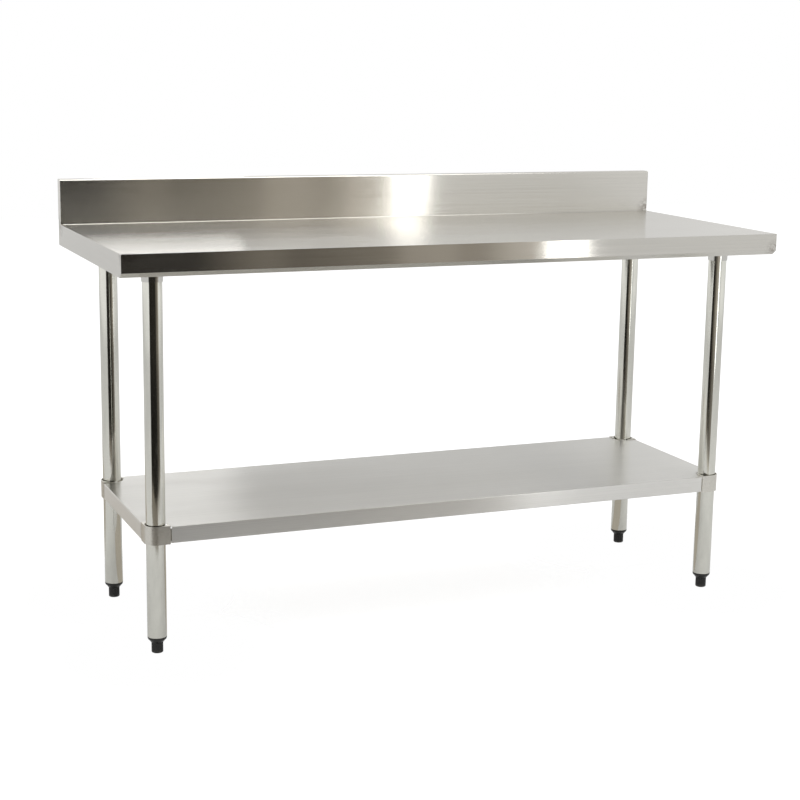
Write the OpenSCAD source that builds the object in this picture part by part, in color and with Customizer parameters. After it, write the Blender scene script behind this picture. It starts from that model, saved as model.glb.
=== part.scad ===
// Stainless work table with a splashback and an adjustable undershelf, in millimetres.
// The origin is on the floor, under the centre of the whole table. +X runs along the
// table and +Y towards the splashback.

/* [Table] */
// Length of the worktop
table_l = 1524; // [900:12:2400]
// Depth from the front edge to the back of the splashback
table_d = 610; // [500:10:900]
// Height of the worktop above the floor
top_h = 864; // [800:2:950]

/* [Worktop] */
// Thickness of the worktop sheet
top_t = 1.2; // [0.9:0.1:2]
// Height of the flat front face
face_h = 38; // [28:1:50]
// Drop of the slanted lip under the front face
lip_drop = 10; // [6:1:14]
// Distance the lip slants back under the front edge
lip_back = 13; // [8:1:18]
// Height of the splashback above the worktop
splash_h = 102; // [60:2:200]
// Depth of the box that forms the splashback
splash_t = 25; // [20:1:40]

/* [Channels under the worktop] */
// Thickness of the channel sheet
channel_t = 1.5; // [1:0.1:2.5]
// Depth of a channel below the worktop sheet
channel_depth = 25; // [20:1:30]
// Width of the flat part of a cross channel
cross_w = 92; // [88:1:110]
// Width of the flat part of the long channel
long_w = 60; // [40:1:90]
// Width of the flange on each side of a channel
channel_flange = 18; // [12:1:24]

/* [Legs] */
// Outside diameter of a leg tube
tube_d = 41.3; // [38:0.1:43]
// Wall of a leg tube
tube_t = 1.2; // [1:0.1:2]
// Distance from the end of the worktop to the axis of a leg
leg_inset_x = 88; // [75:1:140]
// Distance from the front or back of the table to the axis of a leg
leg_inset_y = 104; // [90:1:150]
// Outside diameter of the socket that holds the top of a leg
socket_d = 45; // [44.6:0.1:50]
// Length of the socket tube below its plate
socket_l = 39; // [34:1:60]
// Side of the square socket plate
plate_w = 80; // [76:1:84]
// Thickness of the socket plate
plate_t = 4; // [3:0.5:6]

/* [Undershelf] */
// Height of the shelf's surface above the floor
shelf_h = 280; // [200:5:500]
// Thickness of the shelf sheet
shelf_t = 1; // [0.8:0.1:2]
// Height of the turned-down hem around the shelf
hem_h = 36; // [30:1:45]
// Width of the folded strip at the foot of the long hems
hem_return = 12; // [8:1:20]
// Distance from a leg's axis to the outside of the hem
shelf_edge = 25; // [24.5:0.5:30]
// Width of the flat part of the shelf's stiffener
stiffener_w = 60; // [40:1:120]
// Depth of the shelf's stiffener
stiffener_depth = 24; // [16:1:28]

/* [Corner brackets] */
// Distance from a leg's axis to the joint between bracket and hem
bracket_reach = 25.7; // [25:0.1:27]
// Width of the open joint between a bracket and the hem beside it
seam = 2.2; // [0.6:0.1:3]
// How far a bracket stands above the shelf and below the hem
bracket_proud = 2; // [0:0.5:3]
// Thickness of the bracket's rim around the recess at its top
rim_t = 1.5; // [1:0.1:3]
// Depth of the recess around the leg at the bracket's top
recess = 6; // [2:0.5:8]
// Gap between a leg tube and the bracket around it
slide_gap = 0.35; // [0.3:0.05:0.5]
// Length of the arms behind the hems
arm_l = 45; // [30:1:80]
// Thickness of the arms
arm_t = 4; // [3:0.5:6]
// Drop of the collar below the shelf's surface, on the shelf side
collar_drop = 9; // [6:1:12]

/* [Feet] */
// Height of a foot below its collar when it is screwed right in
foot_h = 24; // [20:1:32]
// Diameter of a foot
foot_d = 25; // [22:1:28]
// Height of the rounded collar between tube and foot
collar_h = 12; // [8:1:14]
// Diameter of the threaded stud
stud_d = 10; // [8:1:12]
// Length of the stud above the foot
stud_l = 38; // [32:1:44]
// Number of grip flutes around a foot
flutes = 14; // [8:1:20]

/* [Fasteners] */
// Diameter of the bolts that hold a socket plate
bolt_d = 6; // [5:1:6]
// Distance between the bolts of one socket plate
bolt_pitch = 62; // [62:1:64]
// Diameter of the set screws
set_screw_d = 8; // [6:1:8]
// Length of the set screws
set_screw_l = 12; // [10:1:16]

/* [Hidden] */
CORNERS = ["fl", "fr", "rl", "rr"];
$fn = 64;

STEEL = [0.78, 0.78, 0.76];
TUBE_STEEL = [0.72, 0.73, 0.72];
ZINC = [0.62, 0.64, 0.66];
BLACK = [0.08, 0.08, 0.08];

// Clearances: running fit, gap between pieces that move apart, overlap that makes a cut clean
fit = 0.05;
gap = 0.3;
cut = 1;

front_y = -table_d / 2;
back_y = table_d / 2;
end_x = table_l / 2;
splash_y = back_y - splash_t;
edge_h = face_h + lip_drop;
face_bottom = top_h - face_h;
edge_bottom = top_h - edge_h;
leg_x = end_x - leg_inset_x;
leg_y = back_y - leg_inset_y;
top_under = top_h - top_t;
channel_bottom = top_under - channel_depth;
plate_bottom = channel_bottom - plate_t;
socket_bottom = plate_bottom - socket_l;
tube_r = tube_d / 2;
tube_bottom = foot_h + collar_h;
shelf_x = leg_x + shelf_edge;
shelf_y = leg_y + shelf_edge;
bracket_bore_r = tube_r + slide_gap;
stud_r = stud_d / 2;
foot_r = foot_d / 2;
channel_end_gap = 12;

// Signs of a leg's x and y, by its corner name
function side_x(c) = c[1] == "l" ? -1 : 1;
function side_y(c) = c[0] == "f" ? -1 : 1;

// Points of an arc about (cx, cy)
function arc(cx, cy, r, a0, a1, steps) =
    [for (i = [0 : steps]) let (a = a0 + (a1 - a0) * i / steps) [cx + r * cos(a), cy + r * sin(a)]];

// Places a piece drawn about the front-left leg's axis, with the table's corner towards -X -Y
module at_corner(c) {
    translate([side_x(c) * leg_x, side_y(c) * leg_y, 0])
        mirror([side_x(c) > 0 ? 1 : 0, 0, 0])
            mirror([0, side_y(c) > 0 ? 1 : 0, 0])
                children();
}

module at_all_corners() {
    for (c = CORNERS) at_corner(c) children();
}

// Turns a (y, z) outline into a bar along X
module along_x(length) {
    rotate([90, 0, 90]) translate([0, 0, -length / 2]) linear_extrude(length) children();
}

// Turns an (x, z) outline into a bar along Y, centred on y = 0
module along_y(length) {
    rotate([90, 0, 0]) translate([0, 0, -length / 2]) linear_extrude(length) children();
}

// A plate with lower corners x0, y0, z0 and upper corners x1, y1, z1
module block(low, high) {
    translate(low) cube(high - low);
}

// Hat section, open side up, its flanges lying against z = 0
module hat_section(width, depth, flange, t) {
    difference() {
        translate([-width / 2, -depth]) square([width, depth]);
        translate([-width / 2 + t, -depth + t]) square([width - 2 * t, depth]);
    }
    for (s = [-1, 1])
        translate([s * (width + flange - t) / 2, -t / 2]) square([flange + t, t], center = true);
}

// A cylinder that lies along X from x0 to x1
module rod_x(x0, x1, r) {
    translate([x0, 0, 0]) rotate([0, 90, 0]) cylinder(h = x1 - x0, r = r);
}

// ---- Worktop ----

// Slanted lip: from the foot of the front face, down and back
module lip_outline() {
    lip_len = norm([lip_drop, lip_back]);
    thick = [lip_drop, lip_back] * top_t / lip_len;
    start = [front_y, face_bottom];
    end = [front_y + lip_back, edge_bottom];
    polygon([start, end, end + thick, [front_y + top_t, face_bottom + thick[1]], [front_y, face_bottom + top_t]]);
}

module worktop_outline() {
    lip_outline();
    translate([front_y, face_bottom]) square([top_t, face_h]);
    translate([front_y, top_under]) square([splash_y + top_t - front_y, top_t]);
    translate([splash_y, top_under]) square([top_t, splash_h + top_t]);
    translate([splash_y, top_h + splash_h - top_t]) square([splash_t, top_t]);
    translate([back_y - top_t, edge_bottom]) square([top_t, splash_h + edge_h]);
}

// Turned-down end of the worktop, with its lower front corner cut to follow the lip
module end_flange_outline() {
    polygon([
        [front_y, top_h],
        [front_y, face_bottom],
        [front_y + lip_back, edge_bottom],
        [splash_y, edge_bottom],
        [splash_y, top_h]
    ]);
}

module worktop() {
    color(STEEL) {
        along_x(table_l - 2 * top_t) worktop_outline();
        for (s = [-1, 1])
            translate([s * (end_x - top_t / 2), 0, 0]) along_x(top_t) end_flange_outline();
    }
}

module splash_cap(s) {
    color(STEEL)
        translate([s * (end_x - top_t / 2), (splash_y + back_y) / 2, (edge_bottom + top_h + splash_h) / 2])
            cube([top_t, splash_t, splash_h + edge_h], center = true);
}

// ---- Channels ----

channel_l = splash_y - front_y - 2 * channel_end_gap;
channel_y = (splash_y + front_y) / 2;

module bolt_places() {
    for (x = [-1, 1], y = [-1, 1])
        translate([x * bolt_pitch / 2, y * bolt_pitch / 2, 0]) children();
}

module cross_channel(s) {
    color(ZINC)
        difference() {
            translate([s * leg_x, channel_y, top_under])
                along_y(channel_l) hat_section(cross_w, channel_depth, channel_flange, channel_t);
            for (y = [-1, 1])
                translate([s * leg_x, y * leg_y, channel_bottom - cut])
                    bolt_places() cylinder(h = channel_t + 2 * cut, r = bolt_d / 2 + fit);
        }
}

module long_channel() {
    color(ZINC)
        translate([0, channel_y, top_under])
            along_x(2 * (leg_x - cross_w / 2 - channel_flange - channel_end_gap))
                hat_section(long_w, channel_depth, channel_flange, channel_t);
}

// ---- Legs and their sockets ----

socket_screw_z = plate_bottom - socket_l / 2;

module leg_socket(c) {
    color(STEEL)
        at_corner(c)
            difference() {
                union() {
                    translate([0, 0, plate_bottom + plate_t / 2])
                        cube([plate_w, plate_w, plate_t], center = true);
                    translate([0, 0, socket_bottom]) cylinder(h = socket_l + cut, r = socket_d / 2);
                }
                translate([0, 0, socket_bottom - cut]) cylinder(h = socket_l + cut, r = tube_r + fit);
                translate([0, 0, socket_screw_z])
                    rotate([0, 0, 90]) rod_x(0, socket_d, set_screw_d / 2 + fit);
                translate([0, 0, plate_bottom - cut])
                    bolt_places() cylinder(h = plate_t + 2 * cut, r = bolt_d / 2 + fit);
            }
}

// Bolts with round heads under the socket plates and nuts inside the channels
module socket_bolts() {
    head_h = 0.6 * bolt_d;
    head_r = 0.85 * bolt_d;
    nut_h = 0.8 * bolt_d;
    nut_r = 0.92 * bolt_d;
    thread_end = 1;
    nut_z = channel_bottom + channel_t;
    head_z = plate_bottom - head_h;
    color(ZINC)
        at_all_corners()
            bolt_places() {
                translate([0, 0, head_z]) cylinder(h = nut_z + nut_h + thread_end - head_z, r = bolt_d / 2);
                translate([0, 0, head_z]) cylinder(h = head_h, r = head_r);
                translate([0, 0, nut_z]) cylinder(h = nut_h, r = nut_r, $fn = 6);
            }
}

// Set screws with a hexagon socket, pressed against the legs
module socket_set_screws() {
    color(ZINC)
        at_all_corners()
            translate([0, 0, socket_screw_z]) rotate([0, 0, 90]) set_screw(tube_r);
}

// A set screw along X, its point at from and its hexagon socket at the far end
module set_screw(from) {
    difference() {
        rod_x(from, from + set_screw_l, set_screw_d / 2);
        translate([from + set_screw_l / 2, 0, 0])
            rotate([0, 90, 0]) cylinder(h = set_screw_l, r = set_screw_d / 4, $fn = 6);
    }
}

module leg(c) {
    color(TUBE_STEEL)
        at_corner(c)
            translate([0, 0, tube_bottom])
                difference() {
                    cylinder(h = plate_bottom - tube_bottom, r = tube_r, $fn = 96);
                    translate([0, 0, -cut])
                        cylinder(h = plate_bottom - tube_bottom + 2 * cut, r = tube_r - tube_t, $fn = 96);
                }
}

// ---- Feet ----

plug_l = stud_l + 6;
pad_top = foot_h - gap;
stud_sunk = 14;
foot_shoulder = 1.5;

// Plastic plug in the end of a leg, with a rounded collar below the tube
module leg_insert(c) {
    rim = 1.5;
    bulge = 0.6 * collar_h;
    color(BLACK)
        at_corner(c)
            difference() {
                union() {
                    translate([0, 0, tube_bottom - cut]) cylinder(h = plug_l + cut, r = tube_r - tube_t);
                    rotate_extrude($fn = 96)
                        polygon(concat(
                            [[0, tube_bottom], [0, foot_h]],
                            [[foot_r + foot_shoulder, foot_h]],
                            arc(tube_r - bulge, tube_bottom - rim, bulge, -60, 0, 8),
                            [[tube_r, tube_bottom]]
                        ));
                }
                translate([0, 0, foot_h - cut]) cylinder(h = collar_h + plug_l + 2 * cut, r = stud_r + fit);
            }
}

// Zinc-plated stud between the plug and the foot
module foot_stud(c) {
    color(ZINC)
        at_corner(c)
            translate([0, 0, pad_top - stud_sunk + gap])
                cylinder(h = stud_sunk - gap + stud_l, r = stud_r);
}

// Fluted plastic foot with a rounded lower edge
module foot(c) {
    edge_r = 2.5;
    top_r = 1;
    flute_r = 1.5;
    flute_depth = 0.8;
    color(BLACK)
        at_corner(c)
            difference() {
                rotate_extrude($fn = 96)
                    polygon(concat(
                        [[0, pad_top], [0, 0]],
                        arc(foot_r - edge_r, edge_r, edge_r, -90, 0, 8),
                        arc(foot_r - top_r, pad_top - top_r, top_r, 0, 90, 4)
                    ));
                translate([0, 0, pad_top - stud_sunk]) cylinder(h = stud_sunk + cut, r = stud_r + fit);
                for (i = [0 : flutes - 1])
                    rotate([0, 0, (i + 0.5) * 360 / flutes])
                        translate([foot_r + flute_r - flute_depth, 0, edge_r + top_r])
                            cylinder(h = pad_top, r = flute_r, $fn = 16);
            }
}

// ---- Undershelf ----

shelf_bottom = shelf_h - hem_h;
shelf_under = shelf_h - shelf_t;

// Everything of the shelf sheet that gives way to a bracket and a leg at one corner
module corner_notch() {
    outside = 2 * shelf_edge;
    reach = outside + bracket_reach + seam;
    across = outside + seam / 2;
    translate([0, 0, shelf_bottom - cut]) {
        cylinder(h = hem_h + 2 * cut, r = shelf_edge);
        translate([-outside, -outside, 0]) {
            cube([reach, across, hem_h + 2 * cut]);
            cube([across, reach, hem_h + 2 * cut]);
        }
    }
}

module undershelf() {
    color(STEEL)
        difference() {
            union() {
                block([-shelf_x, -shelf_y, shelf_under], [shelf_x, shelf_y, shelf_h]);
                for (s = [-1, 1]) {
                    translate([0, s * (shelf_y - shelf_t / 2), shelf_h - hem_h / 2])
                        cube([2 * shelf_x, shelf_t, hem_h], center = true);
                    translate([s * (shelf_x - shelf_t / 2), 0, shelf_h - hem_h / 2])
                        cube([shelf_t, 2 * shelf_y, hem_h], center = true);
                    translate([0, s * (shelf_y - hem_return / 2), shelf_bottom + shelf_t / 2])
                        cube([2 * shelf_x, hem_return, shelf_t], center = true);
                }
            }
            at_all_corners() corner_notch();
        }
}

module shelf_stiffener() {
    color(ZINC)
        translate([0, 0, shelf_under])
            along_x(2 * (shelf_x - shelf_edge - hem_h))
                hat_section(stiffener_w, stiffener_depth, channel_flange, channel_t);
}

bracket_screw_z = shelf_bottom + (hem_h - collar_drop) / 2;

// Space inside one corner of the shelf's outline, from the outside of the hems inwards
module outer_quarter_walls(h) {
    translate([-shelf_edge, -shelf_edge, 0]) cube([shelf_edge, 2 * shelf_edge, h]);
    translate([-shelf_edge, -shelf_edge, 0]) cube([2 * shelf_edge, shelf_edge, h]);
}

// The same piece along +X beside the front hem and along +Y beside the end hem
module on_both_hems() {
    children();
    mirror([1, -1, 0]) children();
}

// Cast corner: a rounded wall outside the leg, a lower collar inside, and an arm along each hem
module shelf_bracket(c) {
    arm_in = shelf_edge - shelf_t;
    arm_low = 4;
    arm_h = hem_h - 2 * arm_low - 1;
    boss_wall = 3;
    boss_out = 8;
    relief = arm_t * 3 / 4;
    wall_h = hem_h + 2 * bracket_proud;
    wall_top = shelf_h + bracket_proud;
    color(STEEL)
        at_corner(c)
            difference() {
                union() {
                    translate([0, 0, shelf_bottom - bracket_proud]) {
                        cylinder(h = hem_h + bracket_proud - collar_drop, r = shelf_edge);
                        intersection() {
                            cylinder(h = wall_h, r = shelf_edge);
                            outer_quarter_walls(wall_h);
                        }
                        on_both_hems() translate([0, -shelf_edge, 0]) cube([bracket_reach, shelf_edge, wall_h]);
                    }
                    on_both_hems()
                        translate([0, -arm_in, shelf_bottom + arm_low])
                            cube([bracket_reach + arm_l, arm_t, arm_h]);
                    translate([0, 0, bracket_screw_z])
                        rotate([0, 0, 45]) rod_x(0, shelf_edge + boss_out, set_screw_d / 2 + boss_wall);
                }
                on_both_hems()
                    translate([bracket_reach, -arm_in - cut, shelf_bottom])
                        cube([seam, relief + cut, hem_h]);
                translate([0, 0, shelf_bottom - bracket_proud - cut])
                    cylinder(h = wall_h + 2 * cut, r = bracket_bore_r, $fn = 96);
                translate([0, 0, wall_top - recess])
                    cylinder(h = recess + cut, r = shelf_edge - rim_t);
                translate([0, 0, bracket_screw_z])
                    rotate([0, 0, 45]) rod_x(0, 2 * shelf_edge, set_screw_d / 2 + fit);
            }
}

module bracket_set_screws() {
    color(ZINC)
        at_all_corners()
            translate([0, 0, bracket_screw_z]) rotate([0, 0, 45]) set_screw(tube_r + gap);
}

// ---- Nodes ----

worktop();
splash_cap(-1);  // splash_cap_left
splash_cap(1);  // splash_cap_right
cross_channel(-1);  // cross_channel_left
cross_channel(1);  // cross_channel_right
long_channel();
for (c = CORNERS) {
    leg_socket(c);
    leg(c);
    leg_insert(c);
    foot_stud(c);
    foot(c);
    shelf_bracket(c);
}
socket_bolts();
socket_set_screws();
undershelf();
shelf_stiffener();
bracket_set_screws();
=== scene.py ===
"""Looks of the stainless work table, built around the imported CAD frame. Metres, Z up, front towards -Y."""

import math
import random

import bmesh
import bpy
from mathutils import Matrix, Vector


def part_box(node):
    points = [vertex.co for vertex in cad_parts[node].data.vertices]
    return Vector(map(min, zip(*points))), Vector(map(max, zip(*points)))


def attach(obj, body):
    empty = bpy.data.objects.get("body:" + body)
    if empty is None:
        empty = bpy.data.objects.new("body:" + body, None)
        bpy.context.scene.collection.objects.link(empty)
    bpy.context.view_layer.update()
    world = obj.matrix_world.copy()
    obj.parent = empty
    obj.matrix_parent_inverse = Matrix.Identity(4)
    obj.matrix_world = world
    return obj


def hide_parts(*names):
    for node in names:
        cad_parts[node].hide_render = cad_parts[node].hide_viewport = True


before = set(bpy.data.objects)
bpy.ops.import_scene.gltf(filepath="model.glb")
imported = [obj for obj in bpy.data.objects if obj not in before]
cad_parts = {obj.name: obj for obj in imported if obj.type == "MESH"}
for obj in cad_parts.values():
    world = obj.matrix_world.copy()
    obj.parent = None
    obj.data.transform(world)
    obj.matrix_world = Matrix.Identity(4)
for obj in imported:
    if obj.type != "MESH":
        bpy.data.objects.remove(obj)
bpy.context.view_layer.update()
CORNERS = ("fl", "fr", "rl", "rr")
random.seed(7)

# ---- Sizes that the looks share with the CAD frame ----

MM = 0.001
TOP_T = 1.2 * MM
LIP_DROP = 10 * MM
LIP_BACK = 13 * MM
FOLD_R = 2.6 * MM
SPLASH_FOLD_R = 1.4 * MM
SPLASH_TOP_R = 4.0 * MM
CAP_T = 1.2 * MM
SHELF_T = 1.0 * MM
SHELF_FOLD_R = 1.6 * MM
SHELF_EDGE = 25 * MM
BRACKET_REACH = 25.7 * MM
SEAM = 2.2 * MM
HEM_RETURN = 12 * MM
CHANNEL_T = 1.5 * MM
CHANNEL_FLANGE = 18 * MM
TUBE_T = 1.2 * MM
EDGE_R = 0.3 * MM

WORKTOP_LOW, WORKTOP_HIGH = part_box("worktop")
SHELF_LOW, SHELF_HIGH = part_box("undershelf")
TOP_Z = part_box("cross_channel_left")[1].z + TOP_T
SPLASH_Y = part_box("splash_cap_left")[0].y
LEG_X = sum(v.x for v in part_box("leg_fr")) / 2
LEG_Y = sum(v.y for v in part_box("leg_rr")) / 2


# ---- Mesh helpers ----

def corner_place(corner):
    """Matrix that takes a piece drawn about the front-left leg's axis to a corner, with mirroring."""
    sx = -1 if corner[1] == "l" else 1
    sy = -1 if corner[0] == "f" else 1
    return Matrix.Translation((sx * LEG_X, sy * LEG_Y, 0)) @ Matrix.Diagonal((-sx, -sy, 1, 1))


def axis_place(corner):
    """Matrix that takes a piece drawn about Z to a leg's axis."""
    return Matrix.Translation(corner_place(corner).translation)


def rounded(points, steps=4, closed=False):
    """Outline through (u, v, radius) corners, with every corner that has a radius rounded."""
    count = len(points)
    out = []
    for i, (u, v, radius) in enumerate(points):
        here = Vector((u, v))
        if radius <= 0 or (not closed and i in (0, count - 1)):
            out.append(here)
            continue
        back = (Vector(points[i - 1][:2]) - here).normalized()
        ahead = (Vector(points[(i + 1) % count][:2]) - here).normalized()
        half = back.angle(ahead) / 2
        centre = here + (back + ahead).normalized() * radius / math.sin(half)
        start = here + back * radius / math.tan(half) - centre
        end = here + ahead * radius / math.tan(half) - centre
        turn = start.angle(end)
        for k in range(steps + 1):
            t = k / steps
            spoke = start * math.sin((1 - t) * turn) + end * math.sin(t * turn)
            out.append(centre + spoke / math.sin(turn))
    return out


def polygon_radius(corner_radius, sides, angle):
    """Distance from the centre of a regular polygon to its side, at an angle."""
    step = 2 * math.pi / sides
    return corner_radius * math.cos(step / 2) / math.cos(angle % step - step / 2)


def revolve(bm, profile, segments, place=Matrix.Identity(4), closed=False, trim=None):
    """Turns a profile about Z. A point is (radius, height) or (radius, height, sides) for a polygon ring.
    trim(angle, radius, height) gives what to take off the radius."""
    rings = []
    for point in profile:
        radius, height = point[0], point[1]
        if radius < 1e-7:
            rings.append([bm.verts.new(place @ Vector((0, 0, height)))])
            continue
        ring = []
        for i in range(segments):
            angle = 2 * math.pi * i / segments
            r = polygon_radius(radius, point[2], angle) if len(point) > 2 else radius
            if trim:
                r -= trim(angle, radius, height)
            ring.append(bm.verts.new(place @ Vector((r * math.cos(angle), r * math.sin(angle), height))))
        rings.append(ring)
    if closed:
        rings.append(rings[0])
    for low, high in zip(rings, rings[1:]):
        for i in range(segments):
            j = (i + 1) % segments
            quad = []
            for v in (low[i % len(low)], low[j % len(low)], high[j % len(high)], high[i % len(high)]):
                if v not in quad:
                    quad.append(v)
            if len(quad) > 2:
                bm.faces.new(quad)


def threaded_rod(bm, radius, low, high, pitch, place, segments=40, chamfer=0.8 * MM):
    """A rod along Z with a real helical thread and chamfered ends."""
    depth = 0.61 * pitch
    steps = max(2, round((high - low) / pitch * 6))
    columns = []
    for i in range(segments):
        angle = 2 * math.pi * i / segments
        column = []
        for k in range(steps + 1):
            z = low + (high - low) * k / steps
            phase = (z / pitch - i / segments) % 1.0
            crest = min(1.0, max(0.0, 2.4 * abs(phase - 0.5) - 0.1))
            r = radius - depth * crest
            end = min(z - low, high - z)
            if end < chamfer:
                r = min(r, radius - depth + end * depth / chamfer)
            column.append(bm.verts.new(place @ Vector((r * math.cos(angle), r * math.sin(angle), z))))
        columns.append(column)
    for i in range(segments):
        a, b = columns[i], columns[(i + 1) % segments]
        for k in range(steps):
            bm.faces.new((a[k], b[k], b[k + 1], a[k + 1]))
    bm.faces.new([c[0] for c in reversed(columns)])
    bm.faces.new([c[-1] for c in columns])


def finish_piece(name, bm, material, body, nodes, sharp=35, recalc=True):
    """Turns the mesh into a piece that rides on a body and stands for its CAD nodes."""
    if recalc:
        bmesh.ops.recalc_face_normals(bm, faces=bm.faces)
    mesh = bpy.data.meshes.new(name)
    bm.to_mesh(mesh)
    bm.free()
    mesh.shade_smooth()
    mesh.set_sharp_from_angle(angle=math.radians(sharp))
    piece = bpy.data.objects.new(name, mesh)
    bpy.context.scene.collection.objects.link(piece)
    mesh.materials.append(material)
    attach(piece, body)
    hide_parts(*nodes)
    return piece


def add_modifiers(piece, thickness=0.0, edge=0.0, edge_angle=50, segments=2):
    """Gives a surface its sheet thickness, inwards, and softens the raw edges."""
    if thickness:
        solid = piece.modifiers.new("thickness", "SOLIDIFY")
        solid.thickness = thickness
        solid.offset = -1
        solid.use_even_offset = True
    if edge:
        bevel = piece.modifiers.new("edges", "BEVEL")
        bevel.width = edge
        bevel.segments = segments
        bevel.limit_method = "ANGLE"
        bevel.angle_limit = math.radians(edge_angle)
    normals = piece.modifiers.new("normals", "WEIGHTED_NORMAL")
    normals.keep_sharp = True


def bevel_folds(bm, radius, segments=4, angle=10, only=None):
    """Rounds every edge where two faces of a folded surface meet at an angle."""
    folds = only or [e for e in bm.edges
                     if len(e.link_faces) == 2 and e.calc_face_angle() > math.radians(angle)]
    bmesh.ops.bevel(bm, geom=folds, offset=radius, segments=segments, profile=0.5,
                    affect="EDGES", clamp_overlap=True)


def folded_strip(profile, place, length, fold_r):
    """Surface of a folded strip: a (u, v) profile swept by length, with its folds rounded."""
    bm = bmesh.new()
    ends = []
    for s in (-0.5, 0.5):
        ends.append([bm.verts.new(place @ Vector((s * length, u, v))) for u, v in profile])
    for k in range(len(profile) - 1):
        bm.faces.new((ends[0][k], ends[1][k], ends[1][k + 1], ends[0][k + 1]))
    bevel_folds(bm, fold_r)
    return bm


def refined(node, material, body, edge, angle=30, segments=2):
    """A CAD node's own shape as a piece, with its seams joined and its edges rounded."""
    bm = bmesh.new()
    bm.from_mesh(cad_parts[node].data)
    bmesh.ops.remove_doubles(bm, verts=bm.verts, dist=1e-6)
    bmesh.ops.dissolve_limit(bm, angle_limit=math.radians(1), verts=bm.verts, edges=bm.edges)
    piece = finish_piece(node + "_detail", bm, material, body, [node], sharp=angle, recalc=False)
    add_modifiers(piece, edge=edge, edge_angle=angle, segments=segments)


# ---- Materials ----

class Look:
    """A node material being built on one Principled shader."""

    def __init__(self, name, **constants):
        self.material = bpy.data.materials.new(name)
        self.material.use_nodes = True
        self.tree = self.material.node_tree
        self.shader = self.tree.nodes["Principled BSDF"]
        self.place = self.add("ShaderNodeTexCoord").outputs["Object"]
        for key, value in constants.items():
            self.shader.inputs[key.replace("_", " ")].default_value = value

    def add(self, kind, inputs=None, **settings):
        node = self.tree.nodes.new(kind)
        for key, value in settings.items():
            setattr(node, key, value)
        for key, value in (inputs or {}).items():
            self.put(value, node.inputs[key])
        return node

    def put(self, value, socket):
        if isinstance(value, bpy.types.NodeSocket):
            self.tree.links.new(value, socket)
        else:
            socket.default_value = value

    def math(self, operation, a, b=0.0, c=0.0):
        return self.add("ShaderNodeMath", {0: a, 1: b, 2: c}, operation=operation).outputs[0]

    def scaled(self, vector, scale):
        return self.add("ShaderNodeVectorMath", {0: vector, 1: scale}, operation="MULTIPLY").outputs[0]

    def turned(self, vector, degrees):
        node = self.add("ShaderNodeVectorRotate", {"Vector": vector, "Angle": math.radians(degrees)},
                        rotation_type="Z_AXIS")
        return node.outputs[0]

    def noise(self, vector, scale, detail=3.0, roughness=0.5, distortion=0.0):
        node = self.add("ShaderNodeTexNoise", {"Vector": vector, "Scale": scale, "Detail": detail,
                                               "Roughness": roughness, "Distortion": distortion})
        return node.outputs["Fac"]

    def spread(self, value, low, high, out_low=0.0, out_high=1.0):
        node = self.add("ShaderNodeMapRange", {"Value": value, "From Min": low, "From Max": high,
                                               "To Min": out_low, "To Max": out_high})
        return node.outputs["Result"]

    def mix(self, factor, a, b):
        node = self.add("ShaderNodeMix", data_type="RGBA")
        self.put(factor, node.inputs[0])
        for index, value in ((6, a), (7, b)):
            self.put((*value, 1.0) if isinstance(value, tuple) else value, node.inputs[index])
        return node.outputs[2]

    def mix_vector(self, factor, a, b):
        node = self.add("ShaderNodeMix", data_type="VECTOR")
        self.put(factor, node.inputs[0])
        self.put(a, node.inputs[4])
        self.put(b, node.inputs[5])
        return node.outputs[1]

    def bump(self, height, distance, strength=1.0, normal=None):
        node = self.add("ShaderNodeBump", {"Height": height, "Distance": distance, "Strength": strength})
        if normal is not None:
            self.put(normal, node.inputs["Normal"])
        return node.outputs["Normal"]

    def set(self, **sockets):
        for key, value in sockets.items():
            self.put(value, self.shader.inputs[key.replace("_", " ")])
        return self.material


WELD_REACH = 30 * MM
WELD_STAIN = (0.16, 0.12, 0.09)
# Painted light: factor that lightens the colour of the splashback above the worktop, standing in for the
# brighter light it reflects.
SPLASH_PAINTED_LIGHT = (1.09, 1.09, 1.09)


def shade(colour, factor):
    return tuple(min(1.0, c * factor) for c in colour)


def fine_scratches(look, angles, scale=420.0, limit=0.735):
    """Sum of sparse, long scratches at a few angles in the horizontal plane."""
    total = None
    for degrees in angles:
        stretched = look.scaled(look.turned(look.place, degrees), (0.03, 1.0, 1.0))
        lines = look.spread(look.noise(stretched, scale, 1.0), limit, limit + 0.03)
        total = lines if total is None else look.math("MAXIMUM", total, lines)
    return total


def near_points(look, points, reach):
    """1 near any of the points, and 0 from reach onwards."""
    total = None
    for point in points:
        away = look.add("ShaderNodeVectorMath", {0: look.place, 1: point}, operation="DISTANCE")
        near = look.spread(away.outputs["Value"], 0.2 * reach, reach, 1.0, 0.0)
        total = near if total is None else look.math("MAXIMUM", total, near)
    return total


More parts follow.
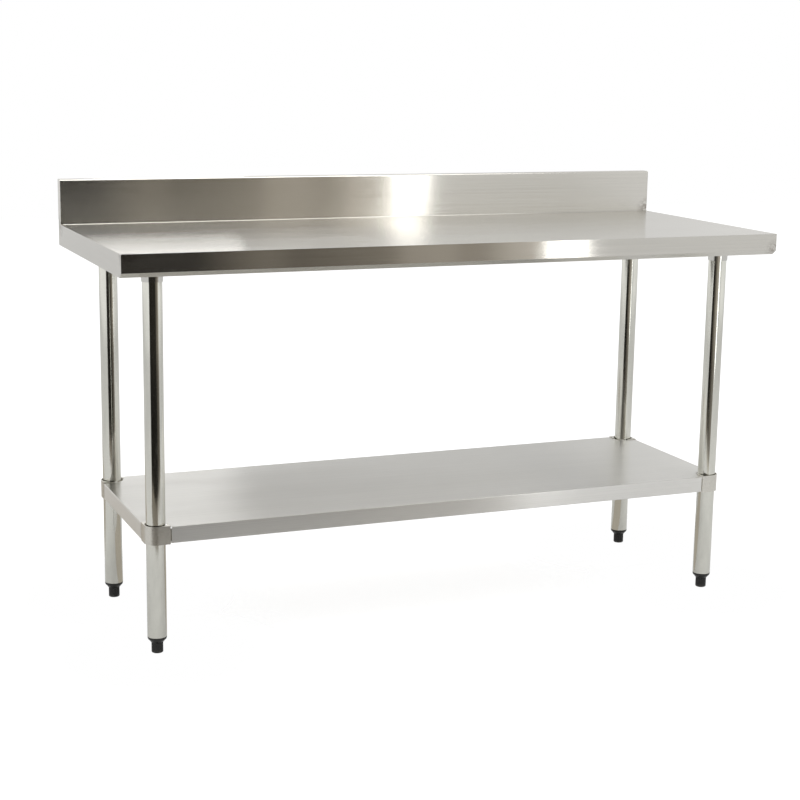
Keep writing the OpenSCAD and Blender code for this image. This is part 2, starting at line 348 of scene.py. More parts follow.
def brushed_steel(name, colour, roughness, anisotropy, streak, wave, scratch_angles, smudge=0.05,
                  welds=()):
    """Rolled and brushed sheet. The brushing runs along X, or along Y on the ends. Where there are welds
    it is stained round them, and above the worktop its colour is lightened as painted light on the
    splashback."""
    look = Look(name, Metallic=1.0, Anisotropic=anisotropy)
    normal = look.add("ShaderNodeNewGeometry").outputs["Normal"]
    split = look.add("ShaderNodeSeparateXYZ", {0: normal})
    on_end = look.math("GREATER_THAN", look.math("ABSOLUTE", split.outputs["X"]), 0.7)
    brushing = look.mix_vector(on_end, (1.0, 0.0, 0.0), (0.0, 1.0, 0.0))
    across = look.add("ShaderNodeVectorMath", {0: normal, 1: brushing},
                      operation="CROSS_PRODUCT").outputs[0]
    stretch = look.mix_vector(on_end, (0.004, 1.0, 1.0), (1.0, 0.004, 1.0))
    grain_place = look.scaled(look.place, stretch)
    fine = look.noise(grain_place, 2600.0, 2.0, 0.6)
    coarse = look.noise(grain_place, 420.0, 3.0, 0.55)
    cloud = look.noise(look.place, 5.5, 4.0, 0.6, 0.3)
    rubbed = look.noise(look.scaled(look.place, (0.45, 1.4, 1.4)), 9.0, 5.0, 0.65, 0.6)
    scratches = fine_scratches(look, scratch_angles)
    waviness = look.noise(look.scaled(look.place, (1.0, 0.55, 0.55)), 4.2, 1.0)
    tone = look.math("ADD", look.math("MULTIPLY", coarse, 0.6), look.math("MULTIPLY", fine, 0.4))
    base = look.mix(look.spread(tone, 0.32, 0.68), shade(colour, 0.93), shade(colour, 1.05))
    base = look.mix(look.spread(cloud, 0.3, 0.7, 0.0, 0.35), base, shade(colour, 0.92))
    base = look.mix(look.math("MULTIPLY", scratches, 0.1), base, shade(colour, 1.12))
    if welds:
        ground = look.spread(look.noise(look.place, 130.0, 4.0, 0.7, 0.5), 0.42, 0.54)
        burnt = look.math("MULTIPLY", near_points(look, welds, WELD_REACH), ground)
        base = look.mix(look.math("MULTIPLY", burnt, 0.55), base, WELD_STAIN)
        # Painted light: the colour is lightened above the worktop, so that the splashback looks more
        # brightly lit.
        height = look.add("ShaderNodeSeparateXYZ", {0: look.place}).outputs["Z"]
        splash_painted_light_mask = look.spread(height, TOP_Z + 1 * MM, TOP_Z + 6 * MM)
        base = look.mix(splash_painted_light_mask, base, look.scaled(base, SPLASH_PAINTED_LIGHT))
    rough = look.math("MULTIPLY_ADD", look.spread(tone, 0.3, 0.7, -1.0, 1.0), streak, roughness)
    rough = look.math("MULTIPLY_ADD", look.spread(rubbed, 0.35, 0.7), smudge, rough)
    rough = look.math("MULTIPLY_ADD", scratches, 0.03, rough)
    bumps = look.bump(waviness, wave)
    bumps = look.bump(coarse, 0.000012, 1.0, bumps)
    bumps = look.bump(fine, 0.000006, 1.0, bumps)
    bumps = look.bump(scratches, -0.000006, 0.5, bumps)
    return look.set(Base_Color=base, Roughness=rough, Normal=bumps, Tangent=across)


def tube_steel(name, colour, roughness):
    """Polished tube: rings of fine polishing marks, faint lengthwise draw lines and handling marks."""
    look = Look(name, Metallic=1.0, Anisotropic=0.6)
    up = look.add("ShaderNodeCombineXYZ", {"Z": 1.0}).outputs[0]
    rings = look.noise(look.scaled(look.place, (0.05, 0.05, 1.0)), 1900.0, 2.0, 0.6)
    drawn = look.noise(look.scaled(look.place, (1.0, 1.0, 0.01)), 900.0, 2.0, 0.5)
    cloud = look.noise(look.scaled(look.place, (1.0, 1.0, 0.22)), 34.0, 4.0, 0.6, 0.4)
    marks = look.spread(look.noise(look.scaled(look.place, (1.0, 1.0, 0.25)), 60.0, 3.0, 0.7), 0.62, 0.72)
    base = look.mix(look.spread(rings, 0.3, 0.7), shade(colour, 0.94), shade(colour, 1.04))
    base = look.mix(look.spread(cloud, 0.35, 0.68, 0.0, 0.75), base, shade(colour, 0.82))
    base = look.mix(look.math("MULTIPLY", marks, 0.25), base, shade(colour, 0.8))
    rough = look.math("MULTIPLY_ADD", look.spread(rings, 0.3, 0.7, -1.0, 1.0), 0.02, roughness)
    rough = look.math("MULTIPLY_ADD", look.spread(cloud, 0.35, 0.7), 0.06, rough)
    rough = look.math("MULTIPLY_ADD", marks, 0.08, rough)
    bumps = look.bump(rings, 0.000008)
    bumps = look.bump(drawn, 0.00001, 1.0, bumps)
    return look.set(Base_Color=base, Roughness=rough, Normal=bumps, Tangent=up)


def satin_metal(name, colour, roughness, grain, pits=0.00003):
    """Cast or turned metal with a fine blasted grain, pits and rubbed places."""
    look = Look(name, Metallic=1.0)
    sand = look.noise(look.place, grain, 3.0, 0.6)
    cloud = look.noise(look.place, 38.0, 4.0, 0.6, 0.3)
    hollow = look.spread(look.noise(look.place, grain * 0.35, 2.0), 0.28, 0.36, 1.0, 0.0)
    base = look.mix(look.spread(sand, 0.3, 0.7), shade(colour, 0.9), shade(colour, 1.06))
    base = look.mix(look.spread(cloud, 0.3, 0.7, 0.0, 0.4), base, shade(colour, 0.84))
    base = look.mix(look.math("MULTIPLY", hollow, 0.4), base, shade(colour, 0.6))
    rough = look.math("MULTIPLY_ADD", look.spread(sand, 0.3, 0.7, -1.0, 1.0), 0.06, roughness)
    rough = look.math("MULTIPLY_ADD", look.spread(cloud, 0.35, 0.7), 0.09, rough)
    bumps = look.bump(sand, 0.00003)
    bumps = look.bump(hollow, -pits, 1.0, bumps)
    return look.set(Base_Color=base, Roughness=rough, Normal=bumps)


def galvanised(name, colour, roughness):
    """Zinc-coated sheet with the crystal pattern of a hot dip."""
    look = Look(name, Metallic=1.0)
    warped = look.add("ShaderNodeVectorMath", {0: look.place}, operation="ADD")
    wobble = look.add("ShaderNodeTexNoise", {"Vector": look.place, "Scale": 45.0, "Detail": 3.0})
    look.put(look.scaled(wobble.outputs["Color"], (0.012, 0.012, 0.012)), warped.inputs[1])
    cells = look.add("ShaderNodeTexVoronoi", {"Vector": warped.outputs[0], "Scale": 75.0})
    value = look.add("ShaderNodeSeparateColor", {0: cells.outputs["Color"]}).outputs[0]
    lines = look.noise(look.scaled(look.place, (1.0, 0.03, 0.03)), 700.0, 2.0)
    base = look.mix(value, shade(colour, 0.82), shade(colour, 1.1))
    base = look.mix(look.spread(lines, 0.4, 0.7, 0.0, 0.3), base, shade(colour, 0.75))
    rough = look.math("MULTIPLY_ADD", value, 0.16, roughness)
    bumps = look.bump(value, 0.00004)
    bumps = look.bump(lines, 0.00001, 1.0, bumps)
    return look.set(Base_Color=base, Roughness=rough, Normal=bumps)


def moulded_plastic(name, colour, roughness):
    """Black moulded plastic with a spark-eroded grain, grey scuffs and dust near the floor."""
    look = Look(name, Specular_IOR_Level=0.45)
    grain = look.noise(look.place, 2400.0, 2.0, 0.6)
    cloud = look.noise(look.place, 90.0, 4.0, 0.65, 0.5)
    scuff = look.spread(look.noise(look.scaled(look.place, (1.0, 1.0, 3.5)), 240.0, 4.0, 0.7), 0.6, 0.72)
    height = look.add("ShaderNodeSeparateXYZ", {0: look.place}).outputs["Z"]
    dust = look.math("MULTIPLY", look.spread(height, 0.0, 0.008, 1.0, 0.0), look.spread(cloud, 0.35, 0.65))
    base = look.mix(look.spread(cloud, 0.3, 0.7), colour, shade(colour, 1.7))
    base = look.mix(look.math("MULTIPLY", scuff, 0.35), base, (0.11, 0.108, 0.102))
    base = look.mix(look.math("MULTIPLY", dust, 0.5), base, (0.16, 0.15, 0.135))
    rough = look.math("MULTIPLY_ADD", look.spread(grain, 0.3, 0.7, -1.0, 1.0), 0.06, roughness)
    rough = look.math("MULTIPLY_ADD", scuff, 0.2, rough)
    bumps = look.bump(grain, 0.00004)
    bumps = look.bump(scuff, 0.00002, 1.0, bumps)
    return look.set(Base_Color=base, Roughness=rough, Normal=bumps)


WELDED_CORNERS = [(WORKTOP_LOW.x, WORKTOP_LOW.y, TOP_Z), (WORKTOP_LOW.x + 14 * MM, WORKTOP_LOW.y, TOP_Z),
                  (WORKTOP_LOW.x, SPLASH_Y, TOP_Z), (WORKTOP_HIGH.x, SPLASH_Y, TOP_Z + 8 * MM),
                  (WORKTOP_HIGH.x, WORKTOP_LOW.y, WORKTOP_LOW.z + LIP_DROP)]
TOP_STEEL = brushed_steel("top_steel", (0.71, 0.69, 0.64), 0.165, 1.0, 0.025, 0.0003, (12, -31, 74),
                          0.025, WELDED_CORNERS)
SHELF_STEEL = brushed_steel("shelf_steel", (0.83, 0.82, 0.785), 0.3, 0.95, 0.035, 0.0003, (8, -24, 63))
TUBE_STEEL = tube_steel("tube_steel", (0.79, 0.785, 0.72), 0.09)
SOCKET_STEEL = tube_steel("socket_steel", (0.80, 0.79, 0.75), 0.12)
CAST_METAL = satin_metal("cast_metal", (0.73, 0.71, 0.65), 0.27, 1200.0, 0.00006)
WELD_METAL = satin_metal("weld_metal", (0.42, 0.38, 0.33), 0.42, 900.0)
CHANNEL_ZINC = galvanised("channel_zinc", (0.55, 0.56, 0.57), 0.34)
ZINC_PLATE = satin_metal("zinc_plate", (0.60, 0.60, 0.58), 0.28, 2200.0)
FOOT_PLASTIC = moulded_plastic("foot_plastic", (0.008, 0.0078, 0.0072), 0.36)
COLLAR_PLASTIC = moulded_plastic("collar_plastic", (0.009, 0.0088, 0.008), 0.32)


# ---- Worktop: one folded sheet, from the lip over the top and the splashback to the rear apron ----

def make_worktop():
    end = WORKTOP_HIGH.x
    inner = end - CAP_T
    front, back = WORKTOP_LOW.y, WORKTOP_HIGH.y
    low, high = WORKTOP_LOW.z, WORKTOP_HIGH.z
    lip_foot = (front + LIP_BACK, low)
    face_foot = (front, low + LIP_DROP)
    face_head = (front, TOP_Z)
    fold = (SPLASH_Y, TOP_Z)
    bm = bmesh.new()

    def row(point, x):
        return [bm.verts.new((s * x, *point)) for s in (-1, 1)]

    lip, foot, head, top_back = (row(p, end) for p in (lip_foot, face_foot, face_head, fold))
    head_in, rise = row(face_head, inner), row(fold, inner)
    upper = [row(p, inner) for p in ((SPLASH_Y, high), (back, high), (back, low))]
    rear_corner = row((SPLASH_Y, low), end)
    bm.faces.new((lip[0], lip[1], foot[1], foot[0]))
    bm.faces.new((foot[0], foot[1], head[1], head_in[1], head_in[0], head[0]))
    bm.faces.new((head_in[0], head_in[1], rise[1], rise[0]))
    bm.faces.new((head[0], head_in[0], rise[0], top_back[0]))
    bm.faces.new((head_in[1], head[1], top_back[1], rise[1]))
    for a, b in zip([rise] + upper, upper):
        bm.faces.new((a[0], a[1], b[1], b[0]))
    bm.faces.new((head[0], top_back[0], rear_corner[0], lip[0], foot[0]))
    bm.faces.new((head[1], foot[1], lip[1], rear_corner[1], top_back[1]))
    bevel_folds(bm, SPLASH_FOLD_R, 6, only=[bm.edges.get(rise)])
    bevel_folds(bm, SPLASH_TOP_R, 6, only=[bm.edges.get(upper[0])])
    bevel_folds(bm, FOLD_R, 5, angle=24)
    piece = finish_piece("worktop_sheet", bm, TOP_STEEL, "frame", ["worktop"], recalc=False)
    add_modifiers(piece, TOP_T, 0.25 * MM, 55)


def make_cap(side, sign):
    """End plate of the splashback, welded on and ground at its edges."""
    low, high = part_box("splash_cap_" + side)
    bm = bmesh.new()
    outline = rounded([(low.y, low.z, 0.4 * MM), (high.y, low.z, 1 * MM),
                       (high.y, high.z, FOLD_R), (low.y, high.z, SPLASH_TOP_R)], 5, closed=True)
    x_out, x_in = (low.x, high.x) if sign < 0 else (high.x, low.x)
    outer = [bm.verts.new((x_out, p.x, p.y)) for p in outline]
    inner = [bm.verts.new((x_in, p.x, p.y)) for p in outline]
    bm.faces.new(outer)
    bm.faces.new(inner)
    for i in range(len(outline)):
        j = (i + 1) % len(outline)
        bm.faces.new((outer[i], outer[j], inner[j], inner[i]))
    piece = finish_piece("splash_end_" + side, bm, TOP_STEEL, "frame", ["splash_cap_" + side])
    add_modifiers(piece, edge=EDGE_R)


make_worktop()
make_cap("left", -1)
make_cap("right", 1)


# ---- Channels and stiffener ----

def hat_profile(width, top, bottom):
    """(u, v) surface of a hat section, from one flange over the web to the other."""
    half = width / 2
    return [(-half - CHANNEL_FLANGE, top - CHANNEL_T), (-half, top - CHANNEL_T), (-half, bottom),
            (half, bottom), (half, top - CHANNEL_T), (half + CHANNEL_FLANGE, top - CHANNEL_T)]


def make_channel(node, along, body, material):
    low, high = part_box(node)
    centre = (low + high) / 2
    size = high - low
    length, width = (size.x, size.y) if along == "x" else (size.y, size.x)
    place = Matrix.Translation((centre.x, centre.y, 0))
    if along == "y":
        place = place @ Matrix.Rotation(math.pi / 2, 4, "Z")
    profile = hat_profile(width - 2 * CHANNEL_FLANGE, high.z, low.z)
    bm = folded_strip(profile, place, length, 2 * MM)
    for face in bm.faces:
        face.normal_flip()
    piece = finish_piece(node + "_sheet", bm, material, body, [node], recalc=False)
    add_modifiers(piece, CHANNEL_T, 0.2 * MM, 55)


for channel in ("cross_channel_left", "cross_channel_right"):
    make_channel(channel, "y", "frame", CHANNEL_ZINC)
make_channel("long_channel", "x", "frame", CHANNEL_ZINC)
make_channel("shelf_stiffener", "x", "shelf", CHANNEL_ZINC)


# ---- Undershelf: one folded sheet with its corners cut out for the brackets ----

def make_shelf():
    reach = BRACKET_REACH + SEAM
    inset = SEAM / 2
    arc_start = math.asin(inset / SHELF_EDGE)
    arc_steps = 12
    corner = [(reach, -SHELF_EDGE), (reach, inset)]
    for k in range(arc_steps + 1):
        angle = arc_start + (math.pi / 2 - 2 * arc_start) * k / arc_steps
        corner.append((SHELF_EDGE * math.cos(angle), SHELF_EDGE * math.sin(angle)))
    corner += [(inset, reach), (-SHELF_EDGE, reach)]
    bm = bmesh.new()
    top, low = SHELF_HIGH.z, SHELF_LOW.z
    loops = {}
    for name in CORNERS:
        place = corner_place(name)
        loops[name] = [bm.verts.new(place @ Vector((x, y, top))) for x, y in corner]
    fl, fr, rl, rr = (loops[n] for n in CORNERS)
    bm.faces.new(fl[::-1] + fr + rr[::-1] + rl)
    for a, b, outward in ((fl[0], fr[0], (0, -1)), (rl[0], rr[0], (0, 1)),
                          (fl[-1], rl[-1], (-1, 0)), (fr[-1], rr[-1], (1, 0))):
        feet = [bm.verts.new((v.co.x, v.co.y, low)) for v in (a, b)]
        bm.faces.new((a, b, feet[1], feet[0]))
        if outward[1]:
            inside = [bm.verts.new((v.co.x, v.co.y - outward[1] * HEM_RETURN, low)) for v in feet]
            bm.faces.new((feet[0], feet[1], inside[1], inside[0]))
    bmesh.ops.recalc_face_normals(bm, faces=bm.faces)
    bm.faces.ensure_lookup_table()
    if max(bm.faces, key=lambda f: f.calc_area()).normal.z < 0:
        bmesh.ops.reverse_faces(bm, faces=bm.faces)
    bevel_folds(bm, SHELF_FOLD_R)
    piece = finish_piece("undershelf_sheet", bm, SHELF_STEEL, "shelf", ["undershelf"],
                         recalc=False)
    add_modifiers(piece, SHELF_T, 0.2 * MM, 55)


make_shelf()

# ---- Legs, sockets, brackets ----

for name in CORNERS:
    place = axis_place(name)
    low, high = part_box("leg_" + name)
    outer = (high.x - low.x) / 2
    wall = [(outer, low.z, EDGE_R), (outer, high.z, EDGE_R),
            (outer - TUBE_T, high.z, EDGE_R), (outer - TUBE_T, low.z, EDGE_R)]
    bm = bmesh.new()
    revolve(bm, rounded(wall, 3, closed=True), 96, place, closed=True)
    finish_piece("leg_tube_" + name, bm, TUBE_STEEL, "frame", ["leg_" + name], sharp=50)
    refined("leg_socket_" + name, SOCKET_STEEL, "frame", 0.5 * MM)
    refined("shelf_bracket_" + name, CAST_METAL, "shelf", 0.7 * MM, segments=3)

SOCKET_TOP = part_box("leg_socket_fl")[1].z
BOLTS_LOW, BOLTS_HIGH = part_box("socket_bolts")
PLATE_T = 4 * MM
PLATE_BOTTOM = SOCKET_TOP - PLATE_T
SOCKET_R = 22.5 * MM


def weld_ripple(angle, radius, height):
    """Overlapping half-moons of a weld bead around a socket."""
    if radius < SOCKET_R + 0.2 * MM:
        return 0.0
    beads = 44
    return 0.35 * MM * abs(math.sin(beads * angle / 2 + 0.5 * math.sin(3 * angle)))


for name in CORNERS:
    bead = rounded([(SOCKET_R - 0.1 * MM, PLATE_BOTTOM - 4.0 * MM, 0),
                    (SOCKET_R + 2.6 * MM, PLATE_BOTTOM - 2.6 * MM, 1.5 * MM),
                    (SOCKET_R + 4.0 * MM, PLATE_BOTTOM + 0.1 * MM, 0)], 4)
    bm = bmesh.new()
    revolve(bm, bead + [Vector((SOCKET_R - 0.1 * MM, PLATE_BOTTOM + 0.1 * MM))], 176,
            axis_place(name), closed=True, trim=weld_ripple)
    finish_piece("socket_weld_" + name, bm, WELD_METAL, "frame", [], sharp=60)


# ---- Fasteners ----

BOLT_R = 3 * MM
BOLT_HALF_PITCH = 31 * MM
HEAD_R = 5.1 * MM
NUT_CORNER_R = 5.5 * MM
NUT_H = 4.8 * MM


def add_bolt(bm, place):
    """Button-head bolt from below, with a hexagon socket, a washer face and a chamfered nut."""
    head_low, end = BOLTS_LOW.z, BOLTS_HIGH.z
    nut_z = SOCKET_TOP + CHANNEL_T
    depth = 2.2 * MM
    head = [(0.0, head_low + depth), (2.2 * MM, head_low + depth, 6), (2.3 * MM, head_low + 0.1 * MM, 6),
            (3.0 * MM, head_low), (3.9 * MM, head_low + 0.5 * MM), (4.7 * MM, head_low + 1.5 * MM),
            (HEAD_R, head_low + 2.9 * MM), (HEAD_R, PLATE_BOTTOM), (BOLT_R, PLATE_BOTTOM),
            (BOLT_R, nut_z)]
    revolve(bm, head, 24, place)
    chamfer_r = 4.7 * MM
    nut = [(BOLT_R, nut_z), (chamfer_r, nut_z), (NUT_CORNER_R, nut_z + 0.5 * MM, 6),
           (NUT_CORNER_R, nut_z + NUT_H - 0.5 * MM, 6), (chamfer_r, nut_z + NUT_H), (BOLT_R, nut_z + NUT_H)]
    revolve(bm, nut, 24, place)
    threaded_rod(bm, BOLT_R, nut_z + 0.2 * MM, end, 1.0 * MM, place, 20, 0.5 * MM)


def make_socket_bolts():
    bm = bmesh.new()
    for name in CORNERS:
        for x in (-1, 1):
            for y in (-1, 1):
                offset = Vector((x * BOLT_HALF_PITCH, y * BOLT_HALF_PITCH, 0))
                spin = Matrix.Rotation(random.uniform(0, math.tau), 4, "Z")
                add_bolt(bm, Matrix.Translation(axis_place(name).translation + offset) @ spin)
    finish_piece("socket_bolt_set", bm, ZINC_PLATE, "frame", ["socket_bolts"])


def make_set_screws(node, height, heading, start, body):
    """Threaded set screws with a hexagon socket, lying in the direction heading from each leg's axis."""
    radius, length, pitch = 4 * MM, 12 * MM, 1.25 * MM
    bm = bmesh.new()
    for name in CORNERS:
        lay = Matrix.Rotation(heading, 4, "Z") @ Matrix.Rotation(math.pi / 2, 4, "Y")
        place = corner_place(name) @ Matrix.Translation((0, 0, height)) @ lay
        threaded_rod(bm, radius, start, start + length - 0.6 * MM, pitch, place)
        face = start + length
        recess = [(0.0, face - 5 * MM), (2.25 * MM, face - 4 * MM, 6), (2.25 * MM, face - 0.1 * MM, 6),
                  (2.6 * MM, face), (3.2 * MM, face), (3.5 * MM, face - 0.3 * MM),
                  (3.5 * MM, face - 0.8 * MM)]
        revolve(bm, recess, 48, place)
    finish_piece(node + "_detail", bm, ZINC_PLATE, body, [node])


make_socket_bolts()
TUBE_R = (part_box("leg_fl")[1].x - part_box("leg_fl")[0].x) / 2
for node, heading, start, body in (("socket_set_screws", math.pi / 2, TUBE_R, "frame"),
                                   ("bracket_set_screws", math.pi / 4, TUBE_R + 0.3 * MM, "shelf")):
    low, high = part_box(node)
    make_set_screws(node, (low.z + high.z) / 2, heading, start, body)


# ---- Feet ----

STUD_R = 5 * MM
STUD_PITCH = 1.5 * MM
BULGE_R = 7.2 * MM
FLUTES = 14
FLUTE_R = 1.5 * MM
FLUTE_OUT = 0.7 * MM


def flute_trim(angle, radius, height):
    """Depth of the grip flutes round a foot."""
    if height < 3.4 * MM or radius < 10 * MM:
        return 0.0
    step = math.tau / FLUTES
    aside = radius * abs(angle % step - step / 2)
    return max(0.0, math.sqrt(max(0.0, FLUTE_R ** 2 - aside ** 2)) - FLUTE_OUT)


for name in CORNERS:
    place = axis_place(name)
    low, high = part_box("leg_insert_" + name)
    tube_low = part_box("leg_" + name)[0].z
    bore = STUD_R + 0.05 * MM
    inner = TUBE_R - TUBE_T
    bulge = [(TUBE_R - BULGE_R * (1 - math.cos(a)), tube_low - 1.5 * MM + BULGE_R * math.sin(a))
             for a in (math.radians(d) for d in range(-60, 1, 6))]
    foot_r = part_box("foot_" + name)[1].x - place.translation.x
    collar = [(bore, low.z, 0.3 * MM), (foot_r + 1.5 * MM, low.z, 0.6 * MM)]
    outline = rounded(collar + [(*bulge[0], 0)], 3) + [Vector(p) for p in bulge[1:]]
    outline += rounded([(TUBE_R, tube_low - 0.8 * MM, 0), (TUBE_R, tube_low, 0.3 * MM),
                        (inner, tube_low, 0)], 3)
    outline += [Vector(p) for p in ((inner, high.z - 1 * MM), (inner - 1 * MM, high.z), (bore, high.z))]
    outline = outline[1:]
    bm = bmesh.new()
    revolve(bm, [(bore, low.z + 0.3 * MM)] + outline, 96, place, closed=True)
    finish_piece("leg_collar_" + name, bm, COLLAR_PLASTIC, "frame", ["leg_insert_" + name])

    low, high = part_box("foot_stud_" + name)
    bm = bmesh.new()
    threaded_rod(bm, STUD_R, low.z, high.z, STUD_PITCH, place)
    finish_piece("stud_thread_" + name, bm, ZINC_PLATE, "stud_" + name, ["foot_stud_" + name])

    low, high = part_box("foot_" + name)
    outline = rounded([(7.0 * MM, low.z + 0.6 * MM, 0), (7.6 * MM, low.z, 0.2 * MM),
                       (foot_r, low.z, 2.5 * MM), (foot_r, high.z, 1.0 * MM),
                       (bore + 0.6 * MM, high.z, 0)], 5)
    rows = []
    for a, b in zip(outline, outline[1:]):
        pieces = 8 if (b - a).length > 10 * MM else 1
        rows += [a.lerp(b, k / pieces) for k in range(pieces)]
    rows += [outline[-1], Vector((bore, high.z - 0.6 * MM)), Vector((bore, high.z - 14 * MM)),
             Vector((0, high.z - 14 * MM))]
    bm = bmesh.new()
    revolve(bm, [Vector((0, low.z + 0.6 * MM))] + rows, FLUTES * 16, place, trim=flute_trim)
    finish_piece("foot_pad_" + name, bm, FOOT_PLASTIC, "foot_" + name, ["foot_" + name])


# ---- Stage: floor, light, camera ----

def stage_plane(name, corners, material):
    mesh = bpy.data.meshes.new(name)
    mesh.from_pydata([tuple(c) for c in corners], [], [(0, 1, 2, 3)])
    mesh.materials.append(material)
    plane = bpy.data.objects.new(name, mesh)
    bpy.context.scene.collection.objects.link(plane)
    return plane


def stage_material(name):
    material = bpy.data.materials.new(name)
    material.use_nodes = True
    material.node_tree.nodes.clear()
    return material, material.node_tree.nodes, material.node_tree.links


def floor_material():
    """Pale floor: seen as a bright sweep from above, open from below so that the underside can be looked at,
    and faded out round the feet, so that a foot screwed out below floor level is still seen."""
    material, nodes, links = stage_material("stage_floor")
    out = nodes.new("ShaderNodeOutputMaterial")
    diffuse = nodes.new("ShaderNodeBsdfDiffuse")
    diffuse.inputs["Color"].default_value = (0.5, 0.5, 0.5, 1)
    glow = nodes.new("ShaderNodeEmission")
    path = nodes.new("ShaderNodeLightPath")
    strength = nodes.new("ShaderNodeMapRange")
    strength.inputs["To Min"].default_value = 0.22
    strength.inputs["To Max"].default_value = 0.75
    links.new(path.outputs["Is Camera Ray"], strength.inputs["Value"])
    links.new(strength.outputs["Result"], glow.inputs["Strength"])
    both = nodes.new("ShaderNodeAddShader")
    links.new(diffuse.outputs[0], both.inputs[0])
    links.new(glow.outputs[0], both.inputs[1])
    clear = nodes.new("ShaderNodeBsdfTransparent")
    back = nodes.new("ShaderNodeNewGeometry")
    mix = nodes.new("ShaderNodeMixShader")
    links.new(back.outputs["Backfacing"], mix.inputs[0])
    links.new(both.outputs[0], mix.inputs[1])
    links.new(clear.outputs[0], mix.inputs[2])
    place = nodes.new("ShaderNodeTexCoord")
    folded = nodes.new("ShaderNodeVectorMath")
    folded.operation = "ABSOLUTE"
    links.new(place.outputs["Object"], folded.inputs[0])
    away = nodes.new("ShaderNodeVectorMath")
    away.operation = "DISTANCE"
    away.inputs[1].default_value = (LEG_X, LEG_Y, 0)
    links.new(folded.outputs[0], away.inputs[0])
    near = nodes.new("ShaderNodeMapRange")
    near.inputs["From Min"].default_value = 0.2
    near.inputs["From Max"].default_value = 0.4
    near.inputs["To Min"].default_value = 1.0
    near.inputs["To Max"].default_value = 0.0
    links.new(away.outputs["Value"], near.inputs["Value"])
    seen = nodes.new("ShaderNodeMath")
    seen.operation = "MULTIPLY"
    links.new(near.outputs["Result"], seen.inputs[0])
    links.new(path.outputs["Is Camera Ray"], seen.inputs[1])
    faded = nodes.new("ShaderNodeMixShader")
    links.new(seen.outputs[0], faded.inputs[0])
    links.new(mix.outputs[0], faded.inputs[1])
    links.new(clear.outputs[0], faded.inputs[2])
    links.new(faded.outputs[0], out.inputs["Surface"])
    return material


WARM = (0.14, 0.0, -0.2)


def warm_grey(value):
    """Grey that is warmer the darker it is."""
    return tuple(value * (1 + w * (1 - value)) for w in WARM)


def flag_material(stops, low=0.5):
    """Dark warm curtain or floor cloth, or the painted shadow sheet under the table. The stops say how
    bright it is at each x, and low how much of that is left near the floor."""
    material, nodes, links = stage_material("stage_flag")
    out = nodes.new("ShaderNodeOutputMaterial")
    glow = nodes.new("ShaderNodeEmission")
    place = nodes.new("ShaderNodeTexCoord")
    split = nodes.new("ShaderNodeSeparateXYZ")
    ramp = nodes.new("ShaderNodeValToRGB")
    span = nodes.new("ShaderNodeMapRange")
    start, end = stops[0][0], stops[-1][0]
    span.inputs["From Min"].default_value = start
    span.inputs["From Max"].default_value = end
    links.new(place.outputs["Object"], split.inputs[0])
    links.new(split.outputs["X"], span.inputs["Value"])
    links.new(span.outputs["Result"], ramp.inputs[0])
    marks = ramp.color_ramp.elements
    marks[0].color, marks[1].color = ((*warm_grey(stops[k][1]), 1) for k in (0, -1))
    for x, value in stops[1:-1]:
        marks.new((x - start) / (end - start)).color = (*warm_grey(value), 1)
    links.new(ramp.outputs[0], glow.inputs["Color"])
    lift = nodes.new("ShaderNodeMapRange")
    lift.inputs["From Min"].default_value = 0.45
    lift.inputs["From Max"].default_value = 0.62
    lift.inputs["To Min"].default_value = low
    links.new(split.outputs["Z"], lift.inputs["Value"])
    links.new(lift.outputs["Result"], glow.inputs["Strength"])
    links.new(glow.outputs[0], out.inputs["Surface"])
    return material


def only_in_reflections(obj):
    obj.visible_camera = False
    obj.visible_diffuse = False
    obj.visible_shadow = False
    obj.visible_transmission = False
    obj.visible_volume_scatter = False


FLOOR_SIZE = 9.0
stage_plane("floor", [(-FLOOR_SIZE, -FLOOR_SIZE, 0), (FLOOR_SIZE, -FLOOR_SIZE, 0),
                      (FLOOR_SIZE, FLOOR_SIZE, 0), (-FLOOR_SIZE, FLOOR_SIZE, 0)], floor_material())

FLAG_STOPS = [(-1.5, 0.015), (-0.36, 0.02), (-0.23, 0.14), (-0.17, 0.18), (-0.1, 0.12), (0.0, 0.15),
              (0.16, 0.21), (0.21, 0.34), (0.34, 0.38), (0.365, 0.3), (0.44, 0.3), (0.46, 0.37),
              (0.52, 0.5), (0.56, 0.5), (0.626, 0.43)]
CURTAIN = flag_material(FLAG_STOPS)
FLAG_LEFT, FLAG_RIGHT = FLAG_STOPS[0][0], FLAG_STOPS[-1][0]
FLAG_Y = -1.17
WING_Y = -0.86
FLAG_FOOT, FLAG_TOP = 0.002, 2.1


def floor_cloth_or_painted_shadow(name, x_low, x_high, y_low, y_high, value):
    """Cloth on the floor that only reflections see; under the table it is a painted shadow sheet instead."""
    outline = ((x_low, y_low), (x_high, y_low), (x_high, y_high), (x_low, y_high))
    material = flag_material([(x_low, value), (x_high, value)], 1.0)
    only_in_reflections(stage_plane(name, [(x, y, FLAG_FOOT) for x, y in outline], material))


only_in_reflections(stage_plane("curtain", (
    (FLAG_LEFT, FLAG_Y, FLAG_FOOT), (FLAG_RIGHT, FLAG_Y, FLAG_FOOT),
    (FLAG_RIGHT, FLAG_Y, FLAG_TOP), (FLAG_LEFT, FLAG_Y, FLAG_TOP)), CURTAIN))
only_in_reflections(stage_plane("curtain_wing", (
    (FLAG_LEFT, WING_Y, FLAG_FOOT), (FLAG_LEFT, FLAG_Y, FLAG_FOOT),
    (FLAG_LEFT, FLAG_Y, FLAG_TOP), (FLAG_LEFT, WING_Y, FLAG_TOP)), CURTAIN))
floor_cloth_or_painted_shadow("cloth_front", -0.5, FLAG_RIGHT, FLAG_Y, -1.0, 0.5)
floor_cloth_or_painted_shadow("cloth_front_left", FLAG_LEFT, -0.5, FLAG_Y, -0.72, 0.22)
